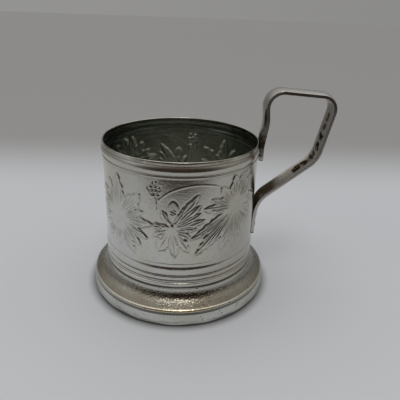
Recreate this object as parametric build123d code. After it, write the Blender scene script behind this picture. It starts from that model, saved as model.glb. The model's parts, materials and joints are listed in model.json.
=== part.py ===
from build123d import *
import os
from math import asin, atan2, hypot, sqrt, tan

# Driving dimensions of a podstakannik, a metal holder for a tea glass, in millimetres.
# The axis of the glass is Z, the table is z = 0, and the handle stands out along +X.

# Sleeve, the embossed wall round the glass
bore_radius = 34.0
sleeve_sheet = 0.5
sleeve_flange_width = 4.0
sleeve_corner_radius = 0.45
holder_height = 71.5

# Bands rolled into the sleeve below the rim, from the top down
rim_height = 1.5
rim_thickness = 0.65
neck_height = 0.2
collar_band_height = 3.9
collar_band_swell = 0.7
collar_bead_height = 1.4
collar_bead_swell = 0.3

# Bands rolled into the sleeve above the foot, from the bottom up
plinth_height = 0.1
heel_band_height = 3.0
heel_band_swell = 0.5
narrow_band_height = 2.3
narrow_band_swell = 0.25
broad_band_height = 4.5
broad_band_swell = 0.45

# Foot, a hollow stamped skirt
foot_sheet = 0.6
foot_height = 14.7
foot_ledge_width = 7.1
collar_ledge = 0.6
collar_drop = 0.5
collar_corner_radius = 0.4
throat_reach = 3.1
throat_foot_height = 9.2
slope_length = 2.5
crease_reach = 6.0
crease_height = 6.2
kerb_step = 0.3
kerb_top_height = 5.8
kerb_batter = 0.5
hem_radius = 1.0
hem_width = 1.6

# Plate that the glass stands on
plate_thickness = 0.8
plate_clearance = 0.1

# Handle, a strip with a crowned outside, flat at both ends
strip_width = 9.9
strip_thickness = 1.55
strip_crown = 0.8
crown_taper_length = 3.5
upper_tab_clearance = 0.05
lower_tab_clearance = 0.25
upper_tab_drop = 9.7
upper_tab_length = 7.4
lower_tab_overlap = 0.5
lower_tab_length = 6.5
tab_corner_radius = 2.0

# Corners of the handle, out from the wall and up or down from the rim, and its bends
elbow_reach = 3.1
elbow_rise = 7.8
grip_inner_reach = 1.7
grip_inner_rise = 21.5
grip_outer_reach = 32.6
grip_outer_rise = 19.3
heel_reach = 26.95
heel_drop = 8.4
elbow_bend = 20.0
grip_inner_bend = 6.4
grip_outer_bend = 6.0
heel_bend = 12.0
root_bend = 12.3

# Rivets, one through each end of the strip
rivet_radius = 0.7
rivet_clearance = 0.05
rivet_head_radius = 1.3
rivet_head_height = 0.7
rivet_clench_radius = 1.2
rivet_clench_height = 0.12
upper_rivet_end_distance = 1.7
lower_rivet_end_distance = 3.8

# Sizes that follow from the ones above
wall_radius = bore_radius + sleeve_sheet
collar_radius = wall_radius + collar_ledge
foot_hole_radius = collar_radius - foot_ledge_width
throat_foot_radius = collar_radius + throat_reach
crease_radius = collar_radius + crease_reach
kerb_top_radius = crease_radius + kerb_step
base_radius = kerb_top_radius + kerb_batter
bands_foot = foot_height + sleeve_sheet + plinth_height
bands_top = bands_foot + heel_band_height + narrow_band_height + broad_band_height
plate_top = foot_height + sleeve_sheet + plate_thickness
upper_tab_inside = wall_radius + collar_band_swell + upper_tab_clearance
lower_tab_inside = wall_radius + lower_tab_clearance
upper_tab_foot = holder_height - upper_tab_drop
upper_tab_top = upper_tab_foot + upper_tab_length
lower_tab_foot = bands_top - lower_tab_overlap
upper_rivet_height = upper_tab_foot + upper_rivet_end_distance
lower_rivet_height = lower_tab_foot + lower_rivet_end_distance


def rz(radius, height):
    """A point of a turned profile, drawn in the plane through the axis and the handle."""
    return (radius, 0, height)


def turn(edges):
    """The solid made by turning a closed outline about the axis of the glass."""
    return revolve(make_face(edges), Axis.Z)


def sleeve_bands():
    """Bottom, top and swell of every rolled band of the sleeve, from the bottom up."""
    low = bands_foot
    bands = []
    for height, swell in (
        (heel_band_height, heel_band_swell),
        (narrow_band_height, narrow_band_swell),
        (broad_band_height, broad_band_swell),
    ):
        bands.append((low, low + height, swell))
        low += height
    high = holder_height - rim_height - neck_height
    top_bands = []
    for height, swell in (
        (collar_band_height, collar_band_swell),
        (collar_bead_height, collar_bead_swell),
    ):
        top_bands.append((high - height, high, swell))
        high -= height
    return bands + top_bands[::-1]


def wall_line(radius, bottom, top):
    """The edges up one side of the sleeve's sheet, swelling outward at each band."""
    edges = []
    at = bottom
    for low, high, swell in sleeve_bands():
        if low > at:
            edges.append(Line(rz(radius, at), rz(radius, low)))
        edges.append(
            ThreePointArc(rz(radius, low), rz(radius + swell, (low + high) / 2), rz(radius, high))
        )
        at = high
    edges.append(Line(rz(radius, at), rz(radius, top)))
    return edges


def rivet_hole(height):
    """The hole for one rivet, from the axis of the glass outward."""
    outward = Plane(origin=rz(0, height), z_dir=(1, 0, 0))
    return extrude(outward * Circle(rivet_radius + rivet_clearance), amount=base_radius)


def make_sleeve():
    """The wall: a drawn sheet with rolled bands, a thick rim and a turned-in edge below."""
    bottom = foot_height
    inside = bottom + sleeve_sheet
    rim_foot = holder_height - rim_height
    rim_radius = bore_radius + rim_thickness
    rim_shoulder = holder_height - rim_thickness / 2
    flange_radius = bore_radius - sleeve_flange_width
    heel = FilletPolyline(
        rz(flange_radius, bottom),
        rz(wall_radius, bottom),
        rz(wall_radius, bands_foot),
        radius=sleeve_corner_radius,
    )
    rim = [
        Line(rz(wall_radius, rim_foot), rz(rim_radius, rim_foot)),
        Line(rz(rim_radius, rim_foot), rz(rim_radius, rim_shoulder)),
        ThreePointArc(
            rz(rim_radius, rim_shoulder),
            rz(bore_radius + rim_thickness / 2, holder_height),
            rz(bore_radius, rim_shoulder),
        ),
    ]
    outside = wall_line(wall_radius, bands_foot, rim_foot)
    bore = wall_line(bore_radius, inside, rim_shoulder)
    flange = Polyline(rz(bore_radius, inside), rz(flange_radius, inside), rz(flange_radius, bottom))
    sleeve = turn(heel.edges() + outside + rim + bore + flange.edges())
    return sleeve - rivet_hole(upper_rivet_height) - rivet_hole(lower_rivet_height)


def make_foot():
    """The foot: a ledge for the sleeve, a throat, a slope, a rolled shoulder, a kerb and a turned-in hem."""
    ledge = FilletPolyline(
        rz(foot_hole_radius, foot_height),
        rz(collar_radius, foot_height),
        rz(collar_radius, foot_height - collar_drop),
        radius=collar_corner_radius,
    )
    throat = TangentArc(ledge @ 1, rz(throat_foot_radius, throat_foot_height), tangent=ledge % 1)
    slope = Line(throat @ 1, throat @ 1 + throat % 1 * slope_length)
    roll = TangentArc(slope @ 1, rz(crease_radius, crease_height), tangent=slope % 1)
    skirt = FilletPolyline(
        roll @ 1,
        rz(kerb_top_radius, kerb_top_height),
        rz(base_radius, 0),
        rz(base_radius - hem_radius - hem_width, 0),
        radius=[0, hem_radius],
    )
    skin = Wire(ledge.edges() + [throat, slope, roll] + skirt.edges())
    return revolve(Face(skin.offset_2d(foot_sheet, side=Side.RIGHT)), Axis.Z)


def make_plate():
    """The disc that the glass stands on, lying on the sleeve's turned-in edge."""
    disc = Pos(0, 0, plate_top) * Circle(bore_radius - plate_clearance)
    return extrude(disc, amount=-plate_thickness)


def strip_section(place, crown):
    """The cross-section of the strip at one place, crowned towards the outside of the loop."""
    half = strip_width / 2
    out = strip_thickness / 2
    if crown:
        outer = ThreePointArc((-half, out), (0, out + crown), (half, out))
        inner = ThreePointArc((half, -out), (0, crown - out), (-half, -out))
    else:
        outer = Line((-half, out), (half, out))
        inner = Line((half, -out), (-half, -out))
    ends = [Line(outer @ 1, inner @ 0), Line(inner @ 1, outer @ 0)]
    return place * make_face([outer, inner] + ends)


def across(point, along):
    """A plane square to the strip, with its second axis towards the outside of the loop."""
    return Plane(origin=point, x_dir=(0, 1, 0), z_dir=along)


def make_tab(start, end, rivet_height):
    """One flat end of the strip, with rounded corners and the rivet's hole."""
    along = Vector(*end) - Vector(*start)
    tab = extrude(strip_section(across(start, along), 0), amount=along.length)
    tip = min(start[2], end[2])
    corners = [e for e in tab.edges().filter_by(Axis.X) if abs(e.center().Z - tip) < strip_thickness]
    return fillet(corners, tab_corner_radius) - rivet_hole(rivet_height)


def corner_above_bend(start, reach, bend_foot):
    """Where a slope from a start meets the upright at a reach, if the root bend ends at a height."""
    to_centre = (reach + root_bend - start[0], bend_foot - start[2])
    slope = atan2(to_centre[1], to_centre[0]) - asin(root_bend / hypot(*to_centre))
    return rz(reach, start[2] + (reach - start[0]) * tan(slope))


def make_handle():
    """The handle: one crowned strip bent round the fingers, flattened where it lies on the wall."""
    upper_reach = upper_tab_inside + strip_thickness / 2
    lower_reach = lower_tab_inside + strip_thickness / 2
    upper_leave = rz(upper_reach, upper_tab_top)
    elbow = rz(wall_radius + elbow_reach, holder_height + elbow_rise)
    grip_inner = rz(wall_radius + grip_inner_reach, holder_height + grip_inner_rise)
    grip_outer = rz(wall_radius + grip_outer_reach, holder_height + grip_outer_rise)
    heel = rz(wall_radius + heel_reach, holder_height - heel_drop)
    lower_leave = rz(lower_reach, lower_tab_foot + lower_tab_length)
    loop_end = rz(lower_reach, lower_leave[2] + crown_taper_length)
    root = corner_above_bend(heel, lower_reach, loop_end[2] + strip_thickness)
    rise = (Vector(*elbow) - Vector(*upper_leave)).normalized()
    loop_start = Vector(*upper_leave) + rise * crown_taper_length
    path = FilletPolyline(
        loop_start, elbow, grip_inner, grip_outer, heel, root, loop_end,
        radius=[elbow_bend, grip_inner_bend, grip_outer_bend, heel_bend, root_bend],
    )
    loop_head = strip_section(across(path @ 0, path % 0), strip_crown)
    loop = sweep(loop_head, path=path)
    loop_foot = strip_section(across(path @ 1, path % 1), strip_crown)
    upper_taper = loft([strip_section(across(upper_leave, (0, 0, 1)), 0), loop_head])
    lower_taper = loft([loop_foot, strip_section(across(lower_leave, (0, 0, -1)), 0)])
    upper_tab = make_tab(rz(upper_reach, upper_tab_foot), upper_leave, upper_rivet_height)
    lower_tab = make_tab(lower_leave, rz(lower_reach, lower_tab_foot), lower_rivet_height)
    return upper_tab + upper_taper + loop + lower_taper + lower_tab


def make_rivet(height, tab_inside):
    """A rivet through the wall and one end of the strip: domed outside, clenched flat inside."""
    seat = sqrt(bore_radius**2 - rivet_clench_radius**2)
    tab_outside = tab_inside + strip_thickness
    shank = Polyline(
        (seat - rivet_clench_height, 0, height),
        (seat - rivet_clench_height, 0, height + rivet_clench_radius),
        (seat, 0, height + rivet_clench_radius),
        (seat, 0, height + rivet_radius),
        (tab_outside, 0, height + rivet_radius),
        (tab_outside, 0, height + rivet_head_radius),
    )
    crown = (tab_outside + rivet_head_height, 0, height)
    dome = TangentArc(crown, shank @ 1, tangent=(0, 0, 1))
    core = Line(crown, shank @ 0)
    return revolve(make_face(shank.edges() + [dome, core]), Axis((0, 0, height), (1, 0, 0)))


os.makedirs("parts", exist_ok=True)
export_step(make_sleeve(), "parts/wall_sleeve.step")
export_step(make_foot(), "parts/foot_skirt.step")
export_step(make_plate(), "parts/bottom_plate.step")
export_step(make_handle(), "parts/handle_strip.step")
export_step(make_rivet(upper_rivet_height, upper_tab_inside), "parts/upper_rivet.step")
export_step(make_rivet(lower_rivet_height, lower_tab_inside), "parts/lower_rivet.step")
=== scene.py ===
import json
from math import atan2, ceil, cos, pi, radians, sin, sqrt, tan

import bpy
import numpy as np
from mathutils import Matrix, Vector


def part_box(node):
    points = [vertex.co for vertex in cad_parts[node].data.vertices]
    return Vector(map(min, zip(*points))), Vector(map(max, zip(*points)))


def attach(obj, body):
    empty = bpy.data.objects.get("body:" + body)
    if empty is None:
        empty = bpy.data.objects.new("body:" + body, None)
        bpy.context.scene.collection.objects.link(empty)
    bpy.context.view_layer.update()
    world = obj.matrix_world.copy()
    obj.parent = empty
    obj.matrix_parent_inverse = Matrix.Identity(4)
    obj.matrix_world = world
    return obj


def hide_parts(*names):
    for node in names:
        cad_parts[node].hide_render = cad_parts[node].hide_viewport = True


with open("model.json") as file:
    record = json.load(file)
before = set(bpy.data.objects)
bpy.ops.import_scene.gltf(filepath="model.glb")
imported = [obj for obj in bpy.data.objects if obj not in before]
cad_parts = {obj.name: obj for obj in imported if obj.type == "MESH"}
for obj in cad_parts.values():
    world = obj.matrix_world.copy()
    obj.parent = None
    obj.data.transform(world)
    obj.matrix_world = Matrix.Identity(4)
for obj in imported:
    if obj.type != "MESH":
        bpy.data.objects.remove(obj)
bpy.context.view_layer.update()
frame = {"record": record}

# Sizes are in millimetres, and meshes are scaled to metres when they are made
MM = 0.001
sleeve_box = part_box("wall_sleeve")
foot_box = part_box("foot_skirt")
plate_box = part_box("bottom_plate")
handle_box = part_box("handle_strip")
seat = next(m for m in frame["record"]["mounts"] if m["name"] == "glass_seat")

# Sleeve
bore_radius = seat["dims"]["r_mm"]
holder_height = sleeve_box[1][2] / MM
foot_height = foot_box[1][2] / MM
sleeve_sheet = 0.5
wall_radius = bore_radius + sleeve_sheet
sleeve_flange_width = 4.0
sleeve_corner_radius = 0.45
rim_height = 1.5
rim_thickness = 0.65
rim_foot = holder_height - rim_height
wall_floor = foot_height + sleeve_sheet

# Bands of the sleeve: height and swell, upward from the foot and downward from the rim
plinth_height = 0.1
lower_bands = ((3.0, 0.5), (2.3, 0.25), (4.5, 0.45))
neck_height = 0.2
upper_bands = ((3.9, 0.7), (1.4, 0.3))
chased_line_rise = 1.7
chased_line_width = 0.5
chased_line_depth = 0.14
# Painted shade along the edges of the bands: its width and strength
band_shade_width = 0.25
band_shade = 0.9
inner_softening = 0.55

# Lowest band: a straight ring with a bevelled edge and a thin bead on top
ring_bevel = 0.5
ring_foot_round = 0.3
ring_bead_height = 0.95
ring_bead_swell = 0.14

# Places where the rim's plating is worn through: azimuth and spread in degrees, and strength
rim_wear = ((-26, 22, 1.0), (-62, 11, 0.7), (-152, 18, 1.0), (-118, 10, 0.55), (-90, 8, 0.35),
            (60, 20, 0.8), (160, 24, 0.7))

# Painted shade on the wall: beside the handle, by the cosine of the azimuth, and up towards the rim
handle_side_shade = (-0.1, 0.85)
rim_shading = 0.65
shading_start = 8.0
shading_end = 4.0

# Waves of unevenness round the holder: size, count and phase of each
wall_waves = ((0.05, 2, 0.7), (0.03, 5, 0), (0.02, 9, 2))
foot_waves = ((0.03, 3, 1), (0.02, 7, 0), (0.012, 13, 2))
hem_dirt_and_shade_waves = ((0.3, 5, 0), (0.2, 17, 1))
even_height = 5.0

# Foot
foot_sheet = 0.6
collar_radius = wall_radius + 0.6
collar_drop = 0.5
collar_corner_radius = 0.4
foot_hole_radius = collar_radius - 7.1
throat_foot = (collar_radius + 3.1, 9.2)
slope_length = 2.85
crease = (collar_radius + 6.0, 6.2)
kerb_top = (crease[0] + 0.3, 5.8)
base_radius = kerb_top[0] + 0.5
hem_radius = 1.0
hem_width = 1.6
foot_inset = 0.07

# Grain, dents, pits and scuffs of the foot, painted shade at its crease and at its hem, where there is some
# dirt too, with the range of each random size
grain_onset = 1.8
roll_grain = 0.4
dent_start = (1.5, 4.0)
dent_end = (3.0, 1.0)
solder_share = 0.6
# Painted shade round the crease: full within the first distance, gone at the second
crease_shade_reach = (0.4, 0.75)
# A dark band at the hem, part dirt and part painted contact shade: its height, and the share of it that is
# fully dark
hem_dirt_and_shade_height = 1.7
hem_dirt_and_shade_core = 0.5
pit_depth = 0.1
foot_pits = 60
throat_pit_every = 3
pit_sizes = (0.15, 0.4)
pit_stretches = (0.6, 1.4)
pit_darkness = (0.6, 1.0)
kerb_scuffs = 34
scuff_lengths = (1.0, 3.5)
scuff_heights = (1.5, 2.8)
scuff_thickness = 0.25
scuff_darkness = (0.3, 0.8)

# Bottom plate
plate_hub = 0.4
turning_depth = 0.015
turning_rate = 2.4

# Handle strip
strip_width = (handle_box[1][1] - handle_box[0][1]) / MM
strip_thickness = 1.55
strip_crown = 0.8
strip_inset = 0.01
strip_edge_radius = 0.25
crown_taper_length = 3.5
tab_hug = 0.6
hug_taper_length = 9.0
tab_corner_radius = 2.0
upper_tab_clearance = 0.05
lower_tab_clearance = 0.25

# Route of the strip: its two tabs, the corners of its loop and the radius of each bend
upper_reach = wall_radius + upper_bands[0][1] + upper_tab_clearance + strip_thickness / 2
lower_reach = wall_radius + lower_tab_clearance + strip_thickness / 2
upper_tab_foot = holder_height - 9.7
upper_tab_top = upper_tab_foot + 7.4
lower_tab_foot = handle_box[0][2] / MM
lower_tab_top = lower_tab_foot + 6.5
elbow = (wall_radius + 3.1, holder_height + 7.8)
grip_inner = (wall_radius + 1.7, holder_height + 21.5)
grip_outer = (wall_radius + 32.6, holder_height + 19.3)
heel = (wall_radius + 26.95, holder_height - 8.4)
elbow_bend = 20.0
grip_inner_bend = 6.4
grip_outer_bend = 6.0
heel_bend = 12.0
root_bend = 12.3

# Patches of pits in the strip's hollow face: distance along it, half length, half width and darkness
pit_patches = ((64.5, 1.3, 0.8, 0.6), (68.8, 0.8, 0.5, 0.6), (73.5, 1.2, 1.3, 0.9), (78.4, 1.2, 1.4, 1.0),
               (83.6, 2.1, 1.7, 0.9), (88.2, 1.2, 1.6, 1.0), (92.6, 1.8, 1.7, 1.0))
patch_pits = 14
patch_side = 1.1
patch_drop = 0.2
patch_pit_radii = (0.4, 1.1)
patch_pit_darkness = (0.7, 1.0)
patch_pit_sharpness = 3

# Stains along the strip from its upper end, with painted shade mixed in at the elbow and the root: start,
# full strength, fading and end
rim_rust = (4.0, 7.0, 11.0, 14.5)
elbow_tarnish_and_shade = (12.0, 22.0, 31.0, 38.0)
bright_top = (31.0, 36.0, 58.0, 63.0)
root_stain_and_shade = (99.0, 107.0)
dull_edge = (0.5, 0.1)

# Rivets
rivet_head_radius = 1.3
rivet_head_height = 0.7
rivet_head_fullness = 0.8
rivet_shank_radius = 0.53 * rivet_head_radius
rivet_clench_radius = 1.2
rivet_clench_height = 0.12
rivet_clench_face = 0.85 * rivet_clench_radius
rivet_clench_round = 0.06
rivet_hub = 0.05
rivet_stain_height = 0.12
upper_rivet_height = upper_tab_foot + 1.7
lower_rivet_height = lower_tab_foot + 3.8

# Fineness of the meshes: points round each piece, pitch of its rows and steps of its arcs
columns = 960
plate_columns = 180
rivet_columns = 40
face_points = 41
row_pitch = 0.23
inner_row_pitch = 0.45
relief_pitch = 0.2
flange_pitch = 1.0
ledge_pitch = 0.8
slope_pitch = 0.3
kerb_pitch = 0.2
hem_pitch = 0.4
strip_pitch = 0.3
shortest_step = 1e-4
plate_rings = 60
under_rings = 12
small_corner_steps = 5
corner_steps = 7
hem_steps = 8
rim_steps = 9
rivet_head_steps = 12
roll_steps = 14
strip_bend_steps = 21
throat_steps = 30
rng = np.random.default_rng(11)


def smooth_step(low, high, value):
    """A soft ramp from 0 at low to 1 at high."""
    t = np.clip((value - low) / (high - low), 0, 1)
    return t * t * (3 - 2 * t)


def bell(value, width):
    """A soft bump that is 1 where a value is 0 and fades within a width on both sides."""
    return np.exp(-((value / width) ** 2))


def waves(angles, table):
    """A sum of waves round the holder, each with its size, count and phase."""
    return sum(size * np.sin(count * angles + phase) for size, count, phase in table)


def ring_angles(count):
    """Even angles once round the axis."""
    return np.arange(count) * 2 * pi / count


def turn_from(angles, azimuth):
    """The turn from an azimuth to each angle, the short way round."""
    return (angles - azimuth + pi) % (2 * pi) - pi


def grid_faces(rows, cols, closed):
    """Quads of a grid of points that closes round its columns; its rows close too, or get end caps."""
    last = rows if closed else rows - 1
    row, col = np.meshgrid(np.arange(last), np.arange(cols), indexing="ij")
    up = (row + 1) % rows
    side = (col + 1) % cols
    quads = (row * cols + col, row * cols + side, up * cols + side, up * cols + col)
    faces = np.stack(quads, -1).reshape(-1, 4).tolist()
    if not closed:
        faces.append(list(range(cols))[::-1])
        faces.append(list(range((rows - 1) * cols, rows * cols)))
    return faces


def add_object(name, data):
    """An object in the scene that shows given data."""
    thing = bpy.data.objects.new(name, data)
    bpy.context.scene.collection.objects.link(thing)
    return thing


def add_piece(name, points, node, material, marks, closed=False):
    """A smooth mesh piece that stands for one CAD node, with named values kept on its points."""
    mesh = bpy.data.meshes.new(name)
    mesh.from_pydata((points.reshape(-1, 3) * MM).tolist(), [], grid_faces(*points.shape[:2], closed))
    for mark, values in marks.items():
        values = np.broadcast_to(values, points.shape[:2]).astype(np.float32)
        mesh.attributes.new(mark, "FLOAT", "POINT").data.foreach_set("value", values.ravel())
    mesh.shade_smooth()
    mesh.materials.append(material)
    piece = add_object(name, mesh)
    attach(piece, "root")
    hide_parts(node)


def turned_points(radius, height, angles):
    """Points of a turned form, rows by columns, from its radius and height at each angle."""
    return np.stack(np.broadcast_arrays(radius * np.cos(angles), radius * np.sin(angles), height), -1)


def left_normals(profile):
    """Unit normals of a profile, on the left of its direction."""
    along = np.gradient(profile, axis=0)
    along /= np.linalg.norm(along, axis=1)[:, None]
    return np.stack((-along[:, 1], along[:, 0]), -1)


def run(start, end, pitch):
    """Points along a straight stretch of a profile, without its end."""
    start = np.array(start, float)
    end = np.array(end, float)
    count = max(1, ceil(np.linalg.norm(end - start) / pitch))
    return [tuple(start + (end - start) * k / count) for k in range(count)]


def round_corner(before, corner, after, radius, steps):
    """Points of an arc that rounds the corner between two straight stretches."""
    corner = np.array(corner, float)
    back = np.array(before, float) - corner
    on = np.array(after, float) - corner
    back /= np.linalg.norm(back)
    on /= np.linalg.norm(on)
    half = np.arccos(np.clip(back @ on, -1, 1)) / 2
    middle = (back + on) / np.linalg.norm(back + on)
    centre = corner + middle * radius / sin(half)
    first = corner + back * radius / tan(half) - centre
    last = corner + on * radius / tan(half) - centre
    turn = atan2(first[0] * last[1] - first[1] * last[0], first @ last)
    side = np.array((-first[1], first[0]))
    angles = np.linspace(0, turn, steps)
    return [tuple(centre + first * cos(a) + side * sin(a)) for a in angles]


def tangent_arc(start, heading, end, steps):
    """Points of an arc that leaves a start along a heading, and the heading at its end."""
    start = np.array(start, float)
    heading = np.array(heading, float)
    chord = np.array(end, float) - start
    bend = 2 * atan2(heading[0] * chord[1] - heading[1] * chord[0], heading @ chord)
    radius = np.linalg.norm(chord) / (2 * sin(bend / 2))
    left = np.array((-heading[1], heading[0]))
    turns = np.linspace(0, bend, steps)
    points = [tuple(start + radius * (heading * sin(a) + left * (1 - cos(a)))) for a in turns]
    return points, heading * cos(bend) + left * sin(bend)


# Vine in low relief round the sleeve; its places are along the wall from the middle leaf, and up
vine_azimuths = (-95.3, 91.2)
sprig_azimuth = 178.0
sprig_height = 46.0
girth = 2 * pi * wall_radius
relief_fade = (1.2, 1.0)
highest_relief = 0.62
deepest_relief = -0.3
inner_relief = 1.6
inner_blur = 2

# Where the vine is flattened for the lower tab: beside it and above it, and by what share
tab_margin = 1.5
tab_fade = 2.0
tab_headroom = 8.0
tab_headroom_fade = 4.0
tab_flattening = 0.8

# Leaves: their lobes, edges and outlines
leaf_rise = 0.35
leaf_crown = 0.2
lobe_bluntness = 0.8
scallop_pitch = 3.4
scallop_share = 0.22
scallop_onset = (0.3, 0.6)
edge_width = 0.5
edge_overlap = 0.15
edge_wobble = 0.5
wobble_reach = 4
outline_width = 0.28
outline_depth = 0.12
outline_mean = 0.8
outline_swing = 1.4
outline_range = (0.25, 1.4)

# Chased lines: veins fanned out in each lobe, with the range of each random share, and broad strokes
vein_width = 0.34
vein_depth = 0.26
right_vein_depth = 1.2 * vein_depth
vein_spread = 0.65
vein_turn = 2.0
vein_start = 0.12
vein_reach = 0.95
side_vein_loss = 0.28
boss_clearance = (1.0, 1.4)
vein_lengths = (0.88, 1.0)
vein_depths = (0.55, 1.0)
stroke_width = 0.6
stroke_depth = 0.25
stroke_tip = 0.2
stroke_growth = 0.4
stroke_lean = 1.6

# Stems, bud and berries
stem_rise = 0.08
stem_half_width = 0.4
stem_steps = 24
bud_rise = 0.2
bud_flank = (1.1, 0.86)
bud_ring = 1.05
bud_ring_depth = 0.5
seed_share = 0.5
hatch_pitch = 1.1
hatch_sharpness = 4
hatch_slant = (0.5, 0.87)
berry_rows = (2, 3, 2, 2)
berry_radius = 1.15
berry_rise = 0.36
berry_pitch = (1.7, 1.6)
berry_shift = (0.5, 0.4)
berry_sizes = (0.75, 1.0)
berry_line_depths = (0.2, 1.0)


def offset_from(grid, place):
    """How far each point of the wall is along and up from a place, the short way round."""
    along = (grid[0] - place[0] + girth / 2) % girth - girth / 2
    return along, grid[1] - place[1]


def lobe_axes(grid, base, direction):
    """Distance along and across a line from a base in a direction in degrees."""
    x, z = offset_from(grid, base)
    a = radians(direction)
    return x * cos(a) + z * sin(a), z * cos(a) - x * sin(a)


def lobe_depth(grid, base, direction, length, half_width, fullness):
    """How far inside the scalloped edge of a pointed lobe each point lies."""
    along, across = lobe_axes(grid, base, direction)
    share = np.clip(along / length, 0, 1)
    notch = 1 - np.abs(np.sin(pi * (along - length) / scallop_pitch))
    width = half_width * np.sin(pi * share ** fullness) ** lobe_bluntness
    width = width * (1 - scallop_share * notch * smooth_step(*scallop_onset, share))
    beyond = np.maximum(np.maximum(-along, along - length), 0)
    return np.where(beyond > 0, -beyond - np.abs(across), width - np.abs(across))


def groove(grid, base, direction, start, end, bow):
    """The share of full depth along a bowed chased line that fades out at both ends."""
    along, across = lobe_axes(grid, base, direction)
    share = np.clip((along - start) / (end - start), 0, 1)
    return np.sqrt(np.sin(pi * share)) * bell(across - bow * share * (1 - share), vein_width / 2)


def wedge(grid, base, direction, start, end):
    """The share of full depth in a stroke that broadens towards its end."""
    along, across = lobe_axes(grid, base, direction)
    share = np.clip((along - start) / (end - start), 0, 1)
    half = stroke_width * (stroke_tip + stroke_growth * share)
    return np.sqrt(np.sin(pi * share ** stroke_lean)) * np.clip(1 - (across / half) ** 2, 0, 1)


def hand_wobble(grid):
    """A soft random field from -1 to 1, for the unevenness of handwork."""
    field = box_blur(rng.uniform(-1, 1, grid[0].shape), wobble_reach)
    return field / np.abs(field).max()


def leaf(grid, centre, lobes, boss, fan, veins, strokes):
    """The rise of a leaf, lobes round a boss, and the depth of its veins, strokes and outline."""
    inside = boss - np.hypot(*offset_from(grid, centre))
    crown = inside / boss
    lines = np.zeros_like(inside)
    for direction, length, half_width, fullness in lobes:
        depth = lobe_depth(grid, centre, direction, length, half_width, fullness)
        inside = np.maximum(inside, depth)
        crown = np.maximum(crown, depth / half_width)
        spread = np.degrees(atan2(half_width, length / 2)) * vein_spread
        for k in range(-fan, fan + 1):
            aside = k / max(fan, 1)
            heading = direction + spread * aside + rng.uniform(-vein_turn, vein_turn)
            first = boss * rng.uniform(*boss_clearance) + vein_start * length * rng.uniform(0, 2)
            last = length * (vein_reach - side_vein_loss * abs(aside)) * rng.uniform(*vein_lengths)
            line = groove(grid, centre, heading, first, last, rng.uniform(-1, 1) - aside)
            lines = np.maximum(lines, veins * rng.uniform(*vein_depths) * line)
    for direction, first, last in strokes:
        lines = np.maximum(lines, stroke_depth * wedge(grid, centre, direction, first, last))
    inside = inside + edge_wobble * hand_wobble(grid)
    broken = np.clip(outline_mean + outline_swing * hand_wobble(grid), *outline_range)
    edge = smooth_step(-edge_overlap * edge_width, edge_width, inside)
    rise = leaf_rise * ((1 - leaf_crown) * edge + leaf_crown * np.clip(crown, 0, 1))
    outline = outline_depth * broken * bell(inside + outline_width, outline_width)
    return rise, np.maximum(lines * edge, outline)


def bud(grid, centre, half_width, half_height):
    """The rise of an egg-shaped bud, and the depth of its outline and hatching."""
    x, z = offset_from(grid, centre)
    far = np.hypot(x / half_width, z / half_height)
    rise = bud_rise * smooth_step(*bud_flank, far)
    ring = bell((far - bud_ring) * half_width, vein_width / 2)
    seed = np.hypot(x, z) < seed_share * half_width
    hatching = np.cos(pi * (hatch_slant[0] * x + hatch_slant[1] * z) / hatch_pitch) ** hatch_sharpness
    return rise, vein_depth * np.maximum(bud_ring_depth * ring, hatching * seed)


def stem(grid, places):
    """The rise of a round stem along a smooth curve through the given places."""
    route = np.array(places, float)
    spread = np.linspace(0, len(route) - 1, stem_steps * len(route))
    route = np.stack([smooth_curve(route[:, k], spread) for k in (0, 1)], -1)
    nearest = np.full(grid[0].shape, np.inf)
    for place in route:
        nearest = np.minimum(nearest, np.hypot(*offset_from(grid, place)))
    return stem_rise * np.clip(1 - (nearest / stem_half_width) ** 2, 0, 1)


def smooth_curve(values, spread):
    """Values between given ones, on a curve that passes through each with an even slope."""
    index = np.clip(spread.astype(int), 0, len(values) - 2)
    t = spread - index
    ends = np.concatenate(([2 * values[0] - values[1]], values, [2 * values[-1] - values[-2]]))
    a, b, c, d = (ends[index + k] for k in range(4))
    return b + 0.5 * t * (c - a + t * (2 * a - 5 * b + 4 * c - d + t * (3 * (b - c) + d - a)))


def berries(grid, centre):
    """The rise of uneven rows of round berries, and the depth of the lines round them."""
    rise = np.zeros(grid[0].shape)
    lines = np.zeros(grid[0].shape)
    for row, count in enumerate(berry_rows):
        for k in range(count):
            aside = (k - (count - 1) / 2) * berry_pitch[0] * berry_radius
            above = ((len(berry_rows) - 1) / 2 - row) * berry_pitch[1] * berry_radius
            along = centre[0] + aside + rng.uniform(-berry_shift[0], berry_shift[0])
            up = centre[1] + above + rng.uniform(-berry_shift[1], berry_shift[1])
            radius = berry_radius * rng.uniform(*berry_sizes)
            far = np.hypot(*offset_from(grid, (along, up)))
            rise = np.maximum(rise, berry_rise * np.sqrt(np.clip(1 - (far / radius) ** 2, 0, 1)))
            ring = bell(far - radius, vein_width / 2)
            lines = np.maximum(lines, vein_depth * rng.uniform(*berry_line_depths) * ring)
    return rise, lines


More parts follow.
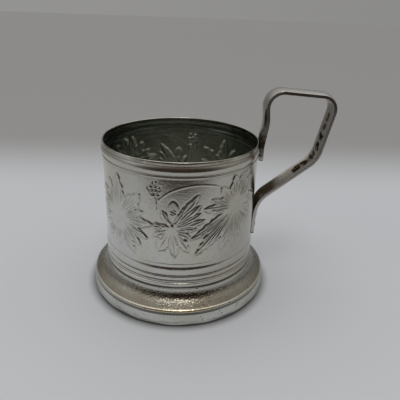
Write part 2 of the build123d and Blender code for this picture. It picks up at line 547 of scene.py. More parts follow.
def vine(grid):
    """The rise of one vine with three leaves, berries, a bud and a stem, and the depth of its lines."""
    # Lobes: direction, length, half width and fullness; strokes: direction, start and end
    middle_lobes = (
        (118, 8.6, 1.4, 1.2), (54, 17.9, 1.9, 1.1), (41, 15.2, 1.7, 1.1),
        (28, 13.4, 1.5, 1.1), (13, 13.9, 1.6, 1.1), (-2, 10.4, 1.4, 1.1), (-30, 9.2, 1.6, 1.1),
        (-58, 13.4, 2.2, 1.2), (-84, 13.6, 2.0, 1.2), (-116, 12.6, 3.0, 1.2), (176, 8.8, 1.6, 1.1),
        (-150, 8.6, 1.6, 1.1),
    )
    middle_strokes = (
        (53, 8.0, 17.0), (42, 7.0, 14.6), (29, 6.0, 12.8), (14, 5.0, 13.2), (-1, 4.5, 9.8), (-31, 3.2, 8.6),
        (-56, 4.4, 11.4), (-117, 4.0, 9.4), (118, 4.2, 8.0),
    )
    left_lobes = (
        (89, 19.6, 4.0, 1.0), (114, 17.2, 3.4, 1.0), (47, 18.4, 4.2, 1.0), (24, 15.4, 2.4, 1.0),
        (4, 18.2, 3.0, 1.0), (-20, 16.8, 2.6, 1.0), (-38, 15.8, 2.6, 1.0), (-57, 17.2, 2.8, 1.0),
        (-90, 13.6, 3.4, 1.0), (-128, 15.0, 3.4, 1.0), (-160, 15.6, 3.4, 1.0), (176, 16.4, 3.4, 1.0),
        (142, 16.8, 3.8, 1.0),
    )
    left_strokes = (
        (-29, 9.0, 15.0), (-47, 10.0, 16.0), (-8, 13.0, 18.0), (106, 9.0, 16.0), (-14, 8.0, 13.0),
    )
    right_lobes = (
        (94, 14.2, 3.2, 1.0), (68, 17.0, 3.2, 1.0), (130, 12.4, 3.2, 1.0), (158, 13.0, 2.2, 1.0),
        (176, 15.4, 2.6, 1.0), (211, 24.0, 2.4, 0.9), (227, 27.0, 3.2, 0.9), (250, 21.0, 3.4, 1.0),
        (270, 20.0, 3.4, 1.0), (290, 18.0, 3.4, 1.0), (320, 17.0, 4.2, 1.0), (0, 16.0, 3.8, 1.0),
        (43, 16.4, 4.0, 1.0),
    )
    right_strokes = (
        (210, 14.0, 23.4), (225, 12.0, 22.4), (173, 10.0, 15.0), (160, 8.0, 12.4), (66, 6.0, 11.0),
    )
    arch = ((-8.8, 45.0), (-7.4, 51.4), (-4.5, 56.1), (0, 59.6), (6.3, 61.7), (12.6, 62.0), (18.9, 60.6),
            (25.0, 57.0))
    parts = [
        leaf(grid, (-25.8, 43.3), left_lobes, 3.6, 3, vein_depth, left_strokes),
        leaf(grid, (28.0, 50.6), right_lobes, 2.6, 3, right_vein_depth, right_strokes),
        leaf(grid, (0.0, 43.7), middle_lobes, 1.5, 1, vein_depth, middle_strokes),
        berries(grid, (-7.4, 59.6)),
        bud(grid, (0.5, 50.9), 2.4, 4.6),
    ]
    rises, lines = (list(kind) for kind in zip(*parts))
    rises.append(stem(grid, arch))
    lines.append(vein_depth * groove(grid, (-6.3, 56.6), -88, 0.0, 5.0, 1.0))
    return np.maximum.reduce(rises), np.maximum.reduce(lines)


def vine_relief(foot, top):
    """Heights of the wall's rows, the relief of the whole ornament and the depth of its lines."""
    up = np.arange(foot, top, relief_pitch)
    along, height = np.meshgrid(wall_radius * ring_angles(columns), up)
    sprig_lobes = ((90, 9.0, 1.8, 1.1), (150, 6.4, 1.5, 1.1), (30, 6.4, 1.5, 1.1), (-90, 8.0, 1.8, 1.1))
    parts = [vine((along - wall_radius * radians(azimuth), height)) for azimuth in vine_azimuths]
    sprig_place = (wall_radius * radians(sprig_azimuth), sprig_height)
    parts.append(leaf((along, height), sprig_place, sprig_lobes, 1.0, 1, vein_depth, ()))
    rise, lines = (np.maximum.reduce(kind) for kind in zip(*parts))
    fade = smooth_step(foot, foot + relief_fade[0], height) * smooth_step(top, top - relief_fade[1], height)
    relief = np.clip(rise - lines, deepest_relief, highest_relief)
    return up, relief * fade, lines * fade


def sleeve_bands():
    """Bottom, top and swell of each rolled band, from the bottom up."""
    low = wall_floor + plinth_height
    bands = []
    for height, rise in lower_bands:
        bands.append((low, low + height, rise))
        low += height
    high = rim_foot - neck_height
    for height, rise in upper_bands:
        high -= height
        bands.append((high, high + height, rise))
    return sorted(bands)


wall_bands = sleeve_bands()
ring_top = wall_bands[0][1] - ring_bead_height
plain_foot = wall_bands[len(lower_bands) - 1][1]
plain_top = wall_bands[len(lower_bands)][0]
chased_line = plain_foot + chased_line_rise


def band_swell(height):
    """How far the rolled bands stand out from the plain wall at each height."""
    out = np.zeros_like(height)
    for low, high, rise in wall_bands:
        share = (2 * height - low - high) / (high - low)
        out = np.maximum(out, rise * np.clip(1 - share ** 2, 0, 1))
    low, high, rise = wall_bands[0]
    foot_round = np.sqrt(np.clip((height - low) / ring_foot_round, 0, 1))
    ring = rise * np.clip(np.minimum((ring_top - height) / ring_bevel, foot_round), 0, 1)
    bead = ring_bead_swell * np.sin(pi * np.clip((height - ring_top) / ring_bead_height, 0, 1))
    out = np.where((height > low) & (height < high), np.maximum(ring, bead), out)
    return out - chased_line_depth * bell(height - chased_line, chased_line_width / 2)


def wall_heights(top, pitch):
    """Heights of the rows up the wall, with a row at the edge of every band."""
    edges = {wall_floor, ring_top - ring_bevel, ring_top, top}
    for low, high, rise in wall_bands:
        edges |= {low, high}
    edges = sorted(edges)
    rows = []
    for low, high in zip(edges, edges[1:]):
        rows += [height for height, in run((low,), (high,), pitch)]
    return np.array(rows + [top])


def box_blur(values, reach):
    """Values averaged with their neighbours on a grid that closes round its columns."""
    out = np.zeros_like(values)
    padded = np.pad(values, ((reach, reach), (0, 0)), mode="edge")
    for k in range(2 * reach + 1):
        out += padded[k:k + len(values)]
    out /= 2 * reach + 1
    return sum(np.roll(out, k, 1) for k in range(-reach, reach + 1)) / (2 * reach + 1)


def on_rows(levels, values, rows):
    """Values of a fine grid read at the heights of given rows."""
    place = np.clip((rows - levels[0]) / relief_pitch, 0, len(levels) - 1)
    low = np.minimum(place.astype(int), len(levels) - 2)
    share = (place - low)[:, None]
    inside = ((rows >= levels[0]) & (rows <= levels[-1]))[:, None]
    return (values[low] * (1 - share) + values[low + 1] * share) * inside


def make_sleeve(material):
    """The embossed wall: one sheet turned with its bands, raised by the vine outside and in."""
    angles = ring_angles(columns)
    levels, relief, lines = vine_relief(chased_line + chased_line_width, plain_top)
    tab_half = strip_width / 2 + tab_margin
    near_tab = smooth_step(tab_half + tab_fade, tab_half, np.abs(wall_radius * np.sin(angles)))
    near_tab *= np.cos(angles) > 0
    headroom = lower_tab_top + tab_headroom
    below_root = smooth_step(headroom + tab_headroom_fade, headroom, levels)[:, None]
    kept = 1 - tab_flattening * near_tab * below_root
    relief = relief * kept
    recess = np.clip(kept * lines / vein_depth, 0, 1)
    hollowed = np.where(relief > 0, inner_relief * relief, relief)

    half = rim_thickness / 2
    rim_shoulder = holder_height - half
    flange_radius = bore_radius - sleeve_flange_width
    outer_rows = wall_heights(rim_foot, row_pitch)
    inner_rows = wall_heights(rim_shoulder, inner_row_pitch)[::-1]
    under_start = (flange_radius, foot_height)
    under = run(under_start, (wall_radius - sleeve_corner_radius, foot_height), flange_pitch)
    under += round_corner(under_start, (wall_radius, foot_height), (wall_radius, wall_floor),
                          sleeve_corner_radius, small_corner_steps)
    rim = []
    for a in np.linspace(-pi / 2, 0, corner_steps)[1:]:
        lift = rim_shoulder + (rim_shoulder - rim_foot) * sin(a)
        rim.append((wall_radius + (rim_thickness - sleeve_sheet) * cos(a), lift))
    for a in np.linspace(0, pi, rim_steps)[1:-1]:
        rim.append((bore_radius + half + half * cos(a), rim_shoulder + half * sin(a)))
    flange = run((bore_radius, wall_floor), (flange_radius, wall_floor), flange_pitch)[1:]
    flange.append((flange_radius, wall_floor))
    band_edges = [edge for low, high, rise in wall_bands for edge in (low, high)]
    band_edges = np.array(band_edges + [ring_top])

    def plain(rows):
        """Rows of a profile with no relief on them."""
        table = np.array(rows)
        return np.repeat(table[:, :1], columns, 1), table[:, 1:], np.zeros((len(rows), columns))

    def walled(radius, rows, values, softened):
        """Rows of one side of the wall, with its bands and its relief, the upper bands softened."""
        swell = band_swell(rows) * (1 - softened * (rows > plain_top))
        across = radius + swell[:, None] + on_rows(levels, values, rows)
        # Painted shade along the edges of the bands
        edge_shade = 1 - smooth_step(0, band_shade_width, np.min(np.abs(rows[:, None] - band_edges), 1))
        return across, rows[:, None], np.maximum(on_rows(levels, recess, rows), band_shade * edge_shade[:, None])

    stretches = [
        plain(under),
        walled(wall_radius, outer_rows, relief, 0.0),
        plain(rim),
        walled(bore_radius, inner_rows, box_blur(hollowed, inner_blur), inner_softening),
        plain(flange),
    ]
    radius, height, dark = (np.concatenate(values) for values in zip(*stretches))
    uneven = smooth_step(wall_floor + even_height, holder_height, height)
    points = turned_points(radius + waves(angles, wall_waves) * uneven, height, angles)
    inside = np.zeros(height.shape)
    inside[len(under) + len(outer_rows) + len(rim):] = 1
    worn = np.zeros(columns)
    for azimuth, spread, strength in rim_wear:
        around = turn_from(angles, radians(azimuth))
        worn = np.maximum(worn, strength * bell(around, radians(spread)))
    worn = worn * smooth_step(rim_foot - rim_height, rim_foot + rim_height / 2, height)
    # Painted shade beside the handle and up towards the rim
    shaded_beside_handle = smooth_step(*handle_side_shade, np.cos(angles))
    shaded_near_rim = rim_shading * smooth_step(plain_foot + shading_start, plain_top + shading_end, height)
    unpolished = np.maximum(shaded_beside_handle, shaded_near_rim) * (1 - inside)
    marks = {"recess": dark, "inside": inside, "worn": worn, "unpolished": unpolished}
    add_piece("embossed_sleeve", points, "wall_sleeve", material, marks, closed=True)


def foot_profile():
    """The outside of the foot's sheet from its ledge down to its hem, and how grainy each point is."""
    ledge_start = (foot_hole_radius, foot_height)
    collar = (collar_radius, foot_height)
    collar_foot = (collar_radius, foot_height - collar_drop)
    ledge = run(ledge_start, (collar_radius - collar_corner_radius, foot_height), ledge_pitch)
    ledge += round_corner(ledge_start, collar, collar_foot, collar_corner_radius, corner_steps)
    throat, heading = tangent_arc(collar_foot, (0, -1), throat_foot, throat_steps)
    shoulder = tuple(np.array(throat_foot) + slope_length * heading)
    throat += run(throat_foot, shoulder, slope_pitch)[1:]
    roll, heading = tangent_arc(shoulder, heading, crease, roll_steps)
    base = (base_radius, 0)
    hem_end = (base_radius - hem_radius - hem_width, 0)
    hem = round_corner(kerb_top, base, hem_end, hem_radius, hem_steps)
    kerb = run(kerb_top, hem[0], kerb_pitch)
    kerb += hem + run(hem[-1], hem_end, hem_pitch)[1:] + [hem_end]
    profile = np.array(ledge + throat + roll + kerb)
    grain = smooth_step(0, grain_onset, foot_height - collar_drop - profile[:, 1])
    grain[len(ledge) + len(throat):] = roll_grain
    grain[len(profile) - len(kerb):] = 0
    return profile, grain


def make_foot(material):
    """The hollow stamped foot: a turned sheet with a grainy throat, a few dents, pits and scuffs, and
    painted shade at its crease and hem.
    """
    angles = ring_angles(columns)
    outside, grain = foot_profile()
    inside = (outside - foot_sheet * left_normals(outside))[::-1]
    profile = np.concatenate((outside, inside))
    height = np.maximum(profile[:, 1:], 0)
    reach = outside[:, :1]
    level = outside[:, 1:]
    solder = level > foot_height - solder_share * collar_corner_radius
    # Painted shade along the crease
    crease_shade = 1 - smooth_step(*crease_shade_reach, np.hypot(reach - crease[0], level - crease[1]))
    # A dark band at the hem: some dirt and a painted contact shade
    hem_dirt_and_shade = hem_dirt_and_shade_height * (1 + waves(angles, hem_dirt_and_shade_waves))
    dark = np.maximum(np.maximum(crease_shade, solder), 1 - smooth_step(hem_dirt_and_shade_core * hem_dirt_and_shade, hem_dirt_and_shade, level))
    kerb_zone = (hem_radius, kerb_top[1])
    throat_zone = (throat_foot[1], foot_height - collar_drop)
    for k in range(foot_pits):
        around = turn_from(angles, rng.uniform(0, 2 * pi))
        low = rng.uniform(*(kerb_zone if k % throat_pit_every else throat_zone))
        size = rng.uniform(*pit_sizes)
        gap = np.hypot(around * reach, (level - low) * rng.uniform(*pit_stretches))
        dark = np.maximum(dark, bell(gap, size) * rng.uniform(*pit_darkness))
    for k in range(kerb_scuffs):
        around = turn_from(angles, rng.uniform(0, 2 * pi))
        gap = np.hypot(around * base_radius / rng.uniform(*scuff_lengths),
                       (level - rng.uniform(*scuff_heights)) / scuff_thickness)
        dark = np.maximum(dark, bell(gap, 1) * rng.uniform(*scuff_darkness))
    dark = np.concatenate((dark, np.zeros((len(inside), columns))))
    worked = smooth_step(*dent_start, height)
    worked *= 1 - smooth_step(foot_height - dent_end[0], foot_height - dent_end[1], height)
    radius = profile[:, :1] + (waves(angles, foot_waves) - foot_inset) * worked - pit_depth * dark
    points = turned_points(radius, height, angles)
    grain = np.concatenate((grain, np.zeros(len(inside))))
    marks = {"recess": dark, "grain": grain[:, None]}
    add_piece("stamped_foot", points, "foot_skirt", material, marks, closed=True)


def make_plate(material):
    """The bottom plate: a disc with a rolled edge and faint turning rings."""
    low = plate_box[0][2] / MM
    high = plate_box[1][2] / MM
    rim = plate_box[1][0] / MM
    edge = (high - low) / 2
    rings = np.linspace(plate_hub, rim - edge, plate_rings)
    top = [(r, high - turning_depth * (1 + cos(r * turning_rate))) for r in rings]
    turn = np.linspace(pi / 2, -pi / 2, corner_steps)
    side = [(rim - edge + edge * cos(a), low + edge + edge * sin(a)) for a in turn]
    under = [(r, low) for r in np.linspace(rim - edge, plate_hub, under_rings)[1:]]
    profile = np.array(top + side[1:] + under)
    points = turned_points(profile[:, :1], profile[:, 1:], ring_angles(plate_columns))
    add_piece("floor_disc", points, "bottom_plate", material, {"recess": 0.0})


def root_corner(bend_foot):
    """The corner where the handle's slope meets its lower upright, for a bend that ends at a height."""
    centre = np.array((lower_reach + root_bend, bend_foot))
    sight = centre - np.array(heel)
    slope = atan2(sight[1], sight[0]) - np.arcsin(root_bend / np.linalg.norm(sight))
    return (lower_reach, heel[1] + (lower_reach - heel[0]) * tan(slope))


def handle_route():
    """Points down the middle of the strip, from the upper tab's end to the lower one's."""
    root = root_corner(lower_tab_top + crown_taper_length + strip_thickness)
    corners = [(upper_reach, upper_tab_foot), (upper_reach, upper_tab_top), elbow, grip_inner, grip_outer,
               heel, root, (lower_reach, lower_tab_foot)]
    bends = [crown_taper_length, elbow_bend, grip_inner_bend, grip_outer_bend, heel_bend, root_bend]
    points = [corners[0]]
    for before, corner, after, bend in zip(corners, corners[1:], corners[2:], bends):
        arc = round_corner(before, corner, after, bend, strip_bend_steps)
        points += run(points[-1], arc[0], strip_pitch)[1:] + arc
    points += run(points[-1], corners[-1], strip_pitch)[1:] + [corners[-1]]
    route = np.array(points)
    step = np.linalg.norm(np.diff(route, axis=0), axis=1)
    keep = np.concatenate(([True], step > shortest_step))
    return route[keep]


def strip_outline(crown, hug, half_width):
    """The outline of the strip across its width: crowned outside, hollow inside, edges rounded."""
    edge = strip_edge_radius
    half_thick = strip_thickness / 2 - strip_inset
    flat = np.linspace(-1, 1, face_points)
    turn = np.linspace(pi / 2, 0, small_corner_steps)[1:-1]
    outer = [(t * (half_width - edge), half_thick) for t in flat]
    fall = [(half_width - edge + edge * cos(a), half_thick - edge + edge * sin(a)) for a in turn]
    rise = [(y, -n) for y, n in fall[::-1]]
    side = fall + [(half_width, half_thick - edge), (half_width, edge - half_thick)] + rise
    inner = [(-y, -half_thick) for y, n in outer]
    outline = np.array(outer + side + inner + [(-y, -n) for y, n in side])
    aside = (outline[:, 0] / (strip_width / 2)) ** 2
    return np.stack((outline[:, 0], outline[:, 1] + crown * (1 - aside) - hug * aside), -1)


def make_handle(material):
    """The handle: one strip bent round the fingers, flat at its riveted ends, pitted in its hollow face."""
    route = handle_route()
    outward = left_normals(route)
    step = np.linalg.norm(np.diff(route, axis=0), axis=1)
    length = np.concatenate(([0], np.cumsum(step)))
    upper_flat = upper_tab_top - upper_tab_foot
    lower_flat = lower_tab_top - lower_tab_foot
    from_end = length[-1] - length
    crown = smooth_step(upper_flat, upper_flat + crown_taper_length, length)
    above_tab = smooth_step(lower_flat, lower_flat + crown_taper_length, from_end)
    crown *= above_tab * strip_crown
    hug = tab_hug * (1 - smooth_step(lower_flat, lower_flat + hug_taper_length, from_end))
    tip = np.minimum(length, from_end)
    cut = np.clip(tab_corner_radius - tip, 0, tab_corner_radius)
    half_width = strip_width / 2 - tab_corner_radius + np.sqrt(tab_corner_radius**2 - cut**2)
    sections = np.stack([strip_outline(c, h, w) for c, h, w in zip(crown, hug, half_width)])
    across = sections[:, :, 0]
    count = sections.shape[1]
    hollow = np.zeros(count)
    hollow[count // 2:count // 2 + face_points] = 1
    pits = np.zeros(across.shape)
    for place, half_length, half_wide, darkness in pit_patches * patch_pits:
        along_gap = length[:, None] - place - half_length * rng.uniform(-1, 1)
        side_gap = across - patch_side - half_wide * rng.uniform(-1, 1)
        gap = np.hypot(along_gap, side_gap) / rng.uniform(*patch_pit_radii)
        pit = np.exp(-gap ** patch_pit_sharpness) * darkness * rng.uniform(*patch_pit_darkness)
        pits = np.maximum(pits, pit)
    pits *= hollow
    depth = sections[:, :, 1] + patch_drop * pits
    x = route[:, :1] + outward[:, :1] * depth
    z = route[:, 1:] + outward[:, 1:] * depth
    points = np.stack((x, across, z), -1)
    marks = {
        "recess": pits,
        "hollow": hollow * (1 - (across / (strip_width / 2)) ** 2),
        "run": length[:, None] * MM,
        "side": across * MM,
    }
    add_piece("bent_strip", points, "handle_strip", material, marks)


def make_rivet(name, node, height, tab_inside, material):
    """A rivet: a domed head on the tab, a shank through it, and a low clenched end inside the wall."""
    seat_reach = sqrt(bore_radius**2 - rivet_clench_radius**2)
    tab_outside = tab_inside + strip_thickness
    clench = seat_reach - rivet_clench_height
    profile = [(rivet_hub, clench), (rivet_clench_face, clench),
               (rivet_clench_radius, clench + rivet_clench_round), (rivet_clench_radius, seat_reach),
               (rivet_shank_radius, seat_reach), (rivet_shank_radius, tab_outside),
               (rivet_head_radius, tab_outside)]
    for a in np.linspace(0, pi / 2, rivet_head_steps)[1:-1]:
        dome_radius = rivet_head_radius * cos(a) ** rivet_head_fullness
        profile.append((dome_radius, tab_outside + rivet_head_height * sin(a)))
    profile.append((rivet_hub, tab_outside + rivet_head_height))
    profile = np.array(profile)
    upright = turned_points(profile[:, :1], profile[:, 1:], ring_angles(rivet_columns))
    points = np.roll(upright, 1, -1) + (0, 0, height)
    stained = profile[:, 1:] < tab_outside + rivet_stain_height
    add_piece(name, points, node, material, {"recess": stained})


# Materials
class Nodes:
    """A node tree, with short calls for the nodes that it uses."""

    def __init__(self, tree, coordinates):
        self.tree = tree
        self.place = self.add("ShaderNodeTexCoord").outputs[coordinates]

    def add(self, kind, **inputs):
        """A node with its inputs set, where an input is a plain value or another node's output."""
        node = self.tree.nodes.new(kind)
        for key, value in inputs.items():
            self.put(node.inputs[key.replace("_", " ")], value)
        return node

    def put(self, socket, value):
        """Sets a socket to a value, or joins it to an output."""
        if isinstance(value, bpy.types.NodeSocket):
            self.tree.links.new(value, socket)
        else:
            socket.default_value = value

    def axis(self, name):
        """One coordinate of the place."""
        return self.add("ShaderNodeSeparateXYZ", Vector=self.place).outputs[name]

    def stretched(self, scale, place=None):
        """Coordinates scaled along each axis."""
        return self.add("ShaderNodeMapping", Vector=place or self.place, Scale=scale).outputs["Vector"]

    def noise(self, scale, detail, place=None, roughness=0.55):
        """Soft noise; its scale is in waves to a metre."""
        node = self.add("ShaderNodeTexNoise", Vector=place or self.place, Scale=scale, Detail=detail,
                        Roughness=roughness)
        return node.outputs["Fac"]

    def blotches(self, scale, detail, low, high, place=None, roughness=0.55):
        """Noise made into blotches, which are clear below a low value and full above a high one."""
        return self.ramp(self.noise(scale, detail, place, roughness), low, high)

    def mark(self, name):
        """A value kept on the mesh's points."""
        node = self.add("ShaderNodeAttribute")
        node.attribute_name = name
        return node.outputs["Fac"]

    def ramp(self, value, low, high, start=0.0, end=1.0):
        """A value moved softly from one range to another."""
        node = self.add("ShaderNodeMapRange", Value=value, From_Min=low, From_Max=high, To_Min=start,
                        To_Max=end)
        node.interpolation_type = "SMOOTHSTEP"
        return node.outputs["Result"]

    def band(self, value, start, full, fading, end):
        """A share that is 1 along a stretch given in millimetres, with soft ends."""
        return self.times(self.ramp(value, start * MM, full * MM), self.ramp(value, end * MM, fading * MM))

    def math(self, operation, *values):
        """Values joined by arithmetic, one after another."""
        total = values[0]
        for value in values[1:]:
            node = self.add("ShaderNodeMath")
            node.operation = operation
            self.put(node.inputs[0], total)
            self.put(node.inputs[1], value)
            total = node.outputs[0]
        return total

    def times(self, *values):
        """The product of values."""
        return self.math("MULTIPLY", *values)

    def size(self, value):
        """A value without its sign."""
        return self.math("ABSOLUTE", value, 0.0)

    def rest(self, share):
        """What a share leaves of 1."""
        return self.math("SUBTRACT", 1.0, share)

    def mix(self, share, first, second):
        """Two colours mixed by a share."""
        node = self.add("ShaderNodeMix")
        node.data_type = "RGBA"
        for index, value in ((0, share), (6, first), (7, second)):
            if isinstance(value, tuple):
                value = (*value, 1.0)
            self.put(node.inputs[index], value)
        return node.outputs[2]


class Shader(Nodes):
    """One node material, whose colour, roughness and normal are built up step by step."""

    def __init__(self, name, colour, roughness):
        self.material = bpy.data.materials.new(name)
        self.material.use_nodes = True
        super().__init__(self.material.node_tree, "Object")
        self.colour = colour
        self.roughness = roughness
        self.normal = None

    def stain(self, colour, *shares):
        """Another colour over the one so far, by the product of shares."""
        self.colour = self.mix(self.times(*shares), self.colour, colour)

    def bump(self, height, depth, strength):
        """Bumps with a depth in millimetres over the normal so far."""
        node = self.add("ShaderNodeBump", Height=height, Distance=depth * MM, Strength=strength)
        if self.normal:
            self.put(node.inputs["Normal"], self.normal)
        self.normal = node.outputs["Normal"]

    def finish(self, metal):
        """Joins what was built up to the material's shader, and how far it is bare metal."""
        inputs = self.tree.nodes["Principled BSDF"].inputs
        self.put(inputs["Metallic"], metal)
        self.put(inputs["Base Color"], self.colour)
        self.put(inputs["Roughness"], self.roughness)
        if self.normal:
            self.put(inputs["Normal"], self.normal)
        if isinstance(metal, bpy.types.NodeSocket):
            self.put(inputs["Specular IOR Level"], self.times(metal, usual_specular))
        return self.material


# Colours of the plating and its stains, and of the painted shade and highlight on it
nickel_light = (0.66, 0.66, 0.635)
nickel_warm = (0.62, 0.605, 0.53)
tarnish = (0.20, 0.165, 0.13)
soot_and_shade = (0.05, 0.042, 0.035)
tarnish_dark = (0.085, 0.07, 0.05)
pit_black = (0.018, 0.015, 0.012)
brass = (0.56, 0.47, 0.33)
brass_glint = (0.72, 0.61, 0.41)
shade_olive = (0.30, 0.27, 0.19)
rim_dark = (0.16, 0.145, 0.1)
inside_shade = (0.15, 0.17, 0.15)
inside_green = (0.63, 0.675, 0.62)
rust = (0.19, 0.12, 0.065)
rust_dark = (0.035, 0.026, 0.018)
pit_brown = (0.085, 0.058, 0.032)
root_brown_and_shade = (0.055, 0.042, 0.029)
strip_light = (0.52, 0.52, 0.50)
strip_warm = (0.45, 0.435, 0.395)
hollow_light = (0.265, 0.25, 0.215)
hollow_brown = (0.17, 0.147, 0.115)
kerb_light = (0.69, 0.705, 0.66)
kerb_warm = (0.6, 0.605, 0.54)
throat_light = (0.285, 0.272, 0.232)
throat_brown = (0.22, 0.193, 0.148)
plate_light = (0.44, 0.43, 0.40)
plate_warm = (0.36, 0.33, 0.28)
rivet_light = (0.50, 0.48, 0.44)
rivet_warm = (0.42, 0.38, 0.32)

# Depths of the plating's scratches and grain, its sheen, the painted shade inside under the rim, and places
# of stains and a painted highlight at the foot
scratch_depth = 0.12
tooth_depth = 0.08
grain_depth = 0.2
usual_specular = 0.5
rim_shadow = (9.0, 5.0)
throat_tarnish = (1.2, -0.8)
# Brass rubbed on the roll, with a painted highlight in front: heights above the crease and reach from the
# front
rubbed_glint_rise = (0.5, 1.1, 1.4, 2.0)
rubbed_glint_reach = (24.0, 5.0)

# Table, room and lamp, in metres
table_front = -0.165
table_reach = 4.0
table_cool = (0.605, 0.63, 0.672)
table_warm = (0.635, 0.655, 0.692)
table_far = (0.33, 0.33, 0.33)
table_far_fade = (0.1, 0.24)
# Painted shade towards the table's front edge
table_front_shade = (0.46, 0.46, 0.46)
table_front_shade_fade = (-0.09, table_front)
shadow = (0.1, 0.1, 0.1)
shadow_edge = (base_radius * MM - 0.002, base_radius * MM + 0.0045)
room_warm = (0.16, 0.12, 0.103)
room_pale = (1.0, 0.99, 0.97)
room_front = (-0.85, -0.25)
room_glow = (0.1, 0.95, 0.28, 0.95)
room_side = (-0.9, 0.9, 1.1, 0.9)
lamp_place = Vector((0.03, -0.45, 1.0))
lamp_aim = Vector((0, 0, 0.02))
lamp_size = (0.27, 0.38)
lamp_radiance = 4.6
lamp_colour = (1.0, 0.97, 0.93)


def worn_nickel(name, light, warm, shine, dull):
    """The common part of the plated metal: clouds of tarnish, soot and painted shade in recesses, pits and
    fine scratches.
    """
    s = Shader(name, light, shine)
    s.stain(warm, s.blotches(45, 5, 0.35, 0.7))
    s.stain(tarnish, s.blotches(900, 3, 0.5, 0.75), 0.25)
    recess = s.mark("recess")
    # Soot in chased lines and pits, and painted shade in creases and at the hem, where the recess mark is
    s.stain(soot_and_shade, recess, 0.7)
    s.roughness = s.math("ADD", s.ramp(s.noise(120, 5), 0.3, 0.7, shine, dull), s.times(recess, 0.2))
    s.bump(s.noise(260, 6, s.stretched((1, 1, 9)), 0.7), scratch_depth, 0.22)
    s.bump(s.noise(1400, 2), tooth_depth, 0.25)
    return s


def sleeve_material():
    """Dull nickel with tarnish in the chased lines, painted shade on the handle's side, up towards the rim
    and inside under it, worn to a yellow metal on the rim.
    """
    s = worn_nickel("sleeve_nickel", nickel_light, nickel_warm, 0.1, 0.19)
    # Painted shade on the handle's side and up towards the rim
    s.stain(shade_olive, s.mark("unpolished"), 0.5)
    bare = s.mix(s.blotches(420, 3, 0.22, 0.44), brass, rim_dark)
    s.stain(bare, s.mark("worn"), s.blotches(170, 4, 0.28, 0.46))
    inside = s.mark("inside")
    s.stain(inside_green, inside, 0.7)
    # Painted shade inside, under the rim
    low, high = ((holder_height - drop) * MM for drop in rim_shadow)
    s.stain(inside_shade, inside, s.ramp(s.axis("Z"), low, high, 0.0, 0.6))
    return s.finish(1.0)


def foot_material():
    """Grey-green nickel, brown and grainy in the throat, rubbed to brass on the roll with a painted
    highlight in front, with black specks.
    """
    s = worn_nickel("foot_nickel", kerb_light, kerb_warm, 0.15, 0.25)
    grain = s.mark("grain")
    clean = s.times(grain, s.rest(s.mark("recess")))
    throat = s.mix(s.blotches(38, 5, 0.35, 0.68, s.stretched((1, 1, 3))), throat_light, throat_brown)
    high, low = ((throat_foot[1] + rise) * MM for rise in throat_tarnish)
    s.stain(s.mix(s.ramp(s.axis("Z"), high, low, 0.0, 0.36), throat, tarnish_dark), clean)
    # Brass where the roll is rubbed, strongest in front where the lamp's line falls: part wear, part
    # painted highlight
    on_roll = s.band(s.axis("Z"), *(crease[1] + rise for rise in rubbed_glint_rise))
    far, near = (reach * MM for reach in rubbed_glint_reach)
    in_front = s.ramp(s.size(s.axis("X")), far, near, 0.15, 1.0)
    s.stain(brass_glint, s.ramp(clean, 0.0, roll_grain), on_roll, in_front)
    spots = s.add("ShaderNodeTexVoronoi", Vector=s.place, Scale=170.0).outputs["Distance"]
    s.stain(soot_and_shade, s.ramp(spots, 0.1, 0.05), s.blotches(70, 3, 0.5, 0.6))
    s.roughness = s.math("SUBTRACT", s.roughness, s.times(grain, 0.07))
    s.bump(s.noise(1500, 0), grain_depth, s.times(grain, 0.85))
    return s.finish(1.0)


def plate_material():
    """Dull nickel scratched by glasses."""
    s = worn_nickel("plate_nickel", plate_light, plate_warm, 0.32, 0.5)
    s.stain(tarnish, s.blotches(90, 8, 0.52, 0.6, s.stretched((1, 14, 1)), 0.8), 0.4)
    return s.finish(1.0)


def handle_material():
    """Nickel with a brown, pitted hollow face, dull edges, tarnish and painted shade at the elbow, a stain
    and painted shade at the lower root, and rust where the upper end passes the rim.
    """
    s = worn_nickel("handle_nickel", strip_light, strip_warm, 0.12, 0.24)
    hollow = s.mark("hollow")
    along = s.mark("run")
    across = s.mark("side")
    strip_place = s.add("ShaderNodeCombineXYZ", X=along, Y=across).outputs[0]
    spots = s.blotches(150, 6, 0.42, 0.64, s.stretched((1, 2.2, 1), strip_place), 0.7)
    s.stain(s.mix(spots, hollow_light, hollow_brown), s.ramp(hollow, 0.0, 0.7), 0.9)
    # Dark stain and painted shade in the hollow face at the lower root
    at_root = s.ramp(along, root_stain_and_shade[0] * MM, root_stain_and_shade[1] * MM)
    at_root = s.times(at_root, s.blotches(260, 4, 0.15, 0.42, strip_place), s.ramp(hollow, 0.0, 0.4))
    s.stain(s.mix(spots, root_brown_and_shade, pit_brown), at_root)
    # Tarnish and painted shade round the elbow
    patchy = s.ramp(s.noise(210, 4, strip_place), 0.25, 0.6, 0.6, 1.0)
    s.stain(tarnish, s.band(along, *elbow_tarnish_and_shade), 0.5, patchy)
    flakes = s.noise(420, 5, strip_place, 0.6)
    rusty = s.times(s.band(along, *rim_rust), s.ramp(flakes, 0.36, 0.46))
    s.stain(s.mix(s.ramp(flakes, 0.54, 0.6), rust_dark, rust), rusty)
    pits = s.mark("recess")
    s.stain(pit_brown, s.ramp(pits, 0.03, 0.25))
    eaten = s.ramp(pits, 0.3, 0.65)
    s.stain(pit_black, eaten)
    spotted = s.times(spots, hollow)
    s.roughness = s.math("ADD", s.roughness, s.times(spotted, 0.2))
    start, full = ((strip_width / 2 - inset) * MM for inset in dull_edge)
    edge = s.times(s.ramp(s.size(across), start, full, 0.0, 0.25), s.rest(s.band(along, *bright_top)))
    dull = s.math("MAXIMUM", rusty, eaten, at_root, s.times(spotted, 0.25), edge)
    return s.finish(s.rest(dull))


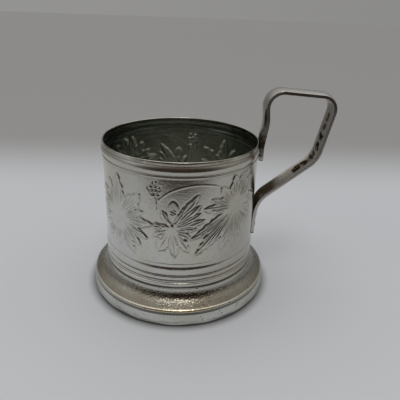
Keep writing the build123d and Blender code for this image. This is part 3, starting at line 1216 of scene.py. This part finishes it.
def rivet_material():
    """Nickel with tarnish round the edge of the head."""
    return worn_nickel("rivet_nickel", rivet_light, rivet_warm, 0.22, 0.36).finish(1.0)


def make_floor():
    """A plain pale table top with a painted shade towards its front and a painted soft shadow under the
    foot; its front edge is below the view.
    """
    s = Shader("pale_table", table_cool, 0.6)
    s.stain(table_warm, s.blotches(3, 2, 0.3, 0.7))
    s.stain(table_far, s.ramp(s.axis("Y"), *table_far_fade))
    # Painted shade towards the table's front edge
    s.stain(table_front_shade, s.ramp(s.axis("Y"), *table_front_shade_fade))
    away = s.add("ShaderNodeVectorMath")
    away.operation = "LENGTH"
    s.put(away.inputs[0], s.place)
    s.stain(shadow, s.ramp(away.outputs["Value"], *shadow_edge, 0.9, 0.0))
    mesh = bpy.data.meshes.new("table")
    corners = [(-table_reach, table_front, 0), (table_reach, table_front, 0),
               (table_reach, table_reach, 0), (-table_reach, table_reach, 0)]
    mesh.from_pydata(corners, [], [(0, 1, 2, 3)])
    mesh.materials.append(s.finish(0.0))
    floor = add_object("table", mesh)


def make_lamp():
    """A soft rectangular lamp overhead in front; its power follows from its size and its brightness."""
    data = bpy.data.lights.new("ceiling_lamp", "AREA")
    data.shape = "RECTANGLE"
    data.size, data.size_y = lamp_size
    data.energy = lamp_radiance * pi * lamp_size[0] * lamp_size[1]
    data.color = lamp_colour
    lamp = add_object("ceiling_lamp", data)
    lamp.location = lamp_place
    lamp.rotation_euler = (lamp_aim - lamp_place).to_track_quat("-Z", "Y").to_euler()


def make_room():
    """A pale room that is brighter above, and dim and warm in front."""
    world = bpy.data.worlds.new("room")
    world.use_nodes = True
    bpy.context.scene.world = world
    room = Nodes(world.node_tree, "Generated")
    sky = room.tree.nodes["Background"].inputs
    room.put(sky["Color"], room.mix(room.ramp(room.axis("Y"), *room_front), room_warm, room_pale))
    glow = room.times(room.ramp(room.axis("Z"), *room_glow), room.ramp(room.axis("X"), *room_side))
    room.put(sky["Strength"], glow)


def make_camera():
    """A camera where the photograph was taken from, found by fitting the rim, wall, foot and handle."""
    position = (0.0, -183.6, 125.6)
    pitch = 0.4340
    yaw = 0.0513
    roll = -0.0371
    image_size = 400
    focal_pixels = 425
    forward = Vector((sin(yaw) * cos(pitch), cos(yaw) * cos(pitch), -sin(pitch)))
    right = Vector((cos(yaw), -sin(yaw), 0))
    down = forward.cross(right)
    level_right = right * cos(roll) + down * sin(roll)
    level_down = down * cos(roll) - right * sin(roll)
    data = bpy.data.cameras.new("camera")
    data.sensor_width = 36.0
    data.lens = data.sensor_width * focal_pixels / image_size
    data.clip_start = 0.01
    camera = add_object("camera", data)
    axes = Matrix((level_right, -level_down, -forward)).transposed()
    camera.matrix_world = Matrix.Translation(Vector(position) * MM) @ axes.to_4x4()
    bpy.context.scene.camera = camera


make_camera()
make_lamp()
make_room()
make_floor()
make_sleeve(sleeve_material())
make_foot(foot_material())
make_plate(plate_material())
make_handle(handle_material())
rivet_finish = rivet_material()
for node, height, reach in (
    ("upper_rivet", upper_rivet_height, upper_reach),
    ("lower_rivet", lower_rivet_height, lower_reach),
):
    make_rivet(node + "_head", node, height, reach - strip_thickness / 2, rivet_finish)
bpy.context.scene.view_settings.view_transform = "Standard"
